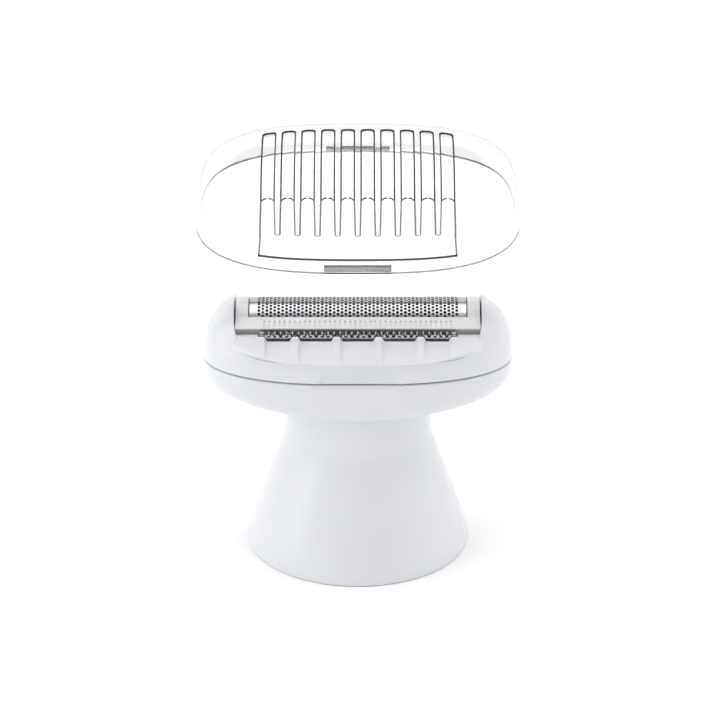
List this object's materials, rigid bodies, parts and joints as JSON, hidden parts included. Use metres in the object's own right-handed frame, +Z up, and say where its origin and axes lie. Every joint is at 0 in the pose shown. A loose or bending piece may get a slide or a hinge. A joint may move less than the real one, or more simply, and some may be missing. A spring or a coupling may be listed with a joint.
{
  "type": "epilator shaver head",
  "caption": "Shaver head attachment for an epilator: round flared skirt, wide white bowl, floating perforated foil with a long-hair trimmer, and a clear trimming comb cap lifted off.",
  "frame": {"origin": "centre of the skirt's rim, on the surface it stands on", "axes": "+Z up from the skirt to the foil, -Y the trimmer side, X along the foil"},
  "size_m": [0.0598, 0.0428, 0.0821],
  "materials": {
    "white_shell": "glossy white, fine satin grain",
    "white_frame": "satin white",
    "white_ramp": "satin white",
    "grey_plastic": "matte grey",
    "natural_plastic": "natural acetal",
    "rubber_seal": "matte black",
    "spring_steel": "drawn wire",
    "steel": "ground steel",
    "foil_steel": "bright perforated foil",
    "trimmer_steel": "bright stamped steel",
    "bush_brass": "turned brass",
    "clear_plastic": "clear polycarbonate"
  },
  "bodies": {
    "housing": {"lower_shell": "white_shell", "upper_shell": "white_shell", "front_guide_ramp": "white_ramp", "rear_ramp": "white_ramp", "chassis": "grey_plastic", "chassis_screw_1": "steel", "chassis_screw_2": "steel", "chassis_screw_3": "steel", "chassis_screw_4": "steel", "handle_collar": "natural_plastic", "collar_screw_1": "steel", "collar_screw_2": "steel", "shaft_bush": "bush_brass", "shaft_seal": "rubber_seal", "gear_axle": "steel", "foil_spring_left": "spring_steel", "foil_spring_right": "spring_steel"},
    "drive_input": {"drive_shaft": "steel", "input_coupling": "natural_plastic", "drive_pinion": "natural_plastic"},
    "eccentric": {"eccentric_gear": "natural_plastic", "eccentric_pin": "steel"},
    "bridge": {"swing_bridge": "natural_plastic", "cutter_spring": "spring_steel"},
    "foil_unit": {"foil_frame": "white_frame", "shaving_foil": "foil_steel", "foil_former_left": "grey_plastic", "foil_former_right": "grey_plastic", "trimmer_comb": "trimmer_steel"},
    "cutter": {"cutter_carrier": "grey_plastic", "cutter_blades": "steel"},
    "trimmer": {"trimmer_blade": "trimmer_steel"},
    "cap": {"comb_cap": "clear_plastic"}
  },
  "joints": [
    {"name": "drive_spin", "type": "hinge", "parent": "housing", "child": "drive_input", "pos_m": [0, 0, 0.0352], "axis": [0, 0, 1], "continuous": true},
    {"name": "eccentric_spin", "type": "hinge", "parent": "housing", "child": "eccentric", "pos_m": [0.00825, 0, 0.0352], "axis": [0, 0, 1], "continuous": true},
    {"name": "bridge_swing", "type": "slide", "parent": "housing", "child": "bridge", "axis": [1, 0, 0], "range_m": [-0.001, 0.001]},
    {"name": "foil_float", "type": "slide", "parent": "housing", "child": "foil_unit", "axis": [0, 0, 1], "range_m": [-0.0009, 0], "stiffness_N_per_m": 300, "springref_m": 0.001, "deforming": ["foil_spring_left", "foil_spring_right", "cutter_spring"]},
    {"name": "cutter_swing", "type": "slide", "parent": "foil_unit", "child": "cutter", "axis": [1, 0, 0], "range_m": [-0.001, 0.001]},
    {"name": "trimmer_swing", "type": "slide", "parent": "foil_unit", "child": "trimmer", "axis": [1, 0, 0], "range_m": [-0.001, 0.001]},
    {"name": "cap_lift", "type": "hinge", "parent": "housing", "child": "cap", "pos_m": [0, -0.076, 0.053], "axis": [1, 0, 0], "range_deg": [-21, 0]}
  ],
  "couplings": [
    {"joint": "eccentric_spin", "follows": "drive_spin", "ratio": -0.5},
    {"joint": "cutter_swing", "follows": "bridge_swing", "ratio": 1},
    {"joint": "trimmer_swing", "follows": "bridge_swing", "ratio": 1}
  ]
}
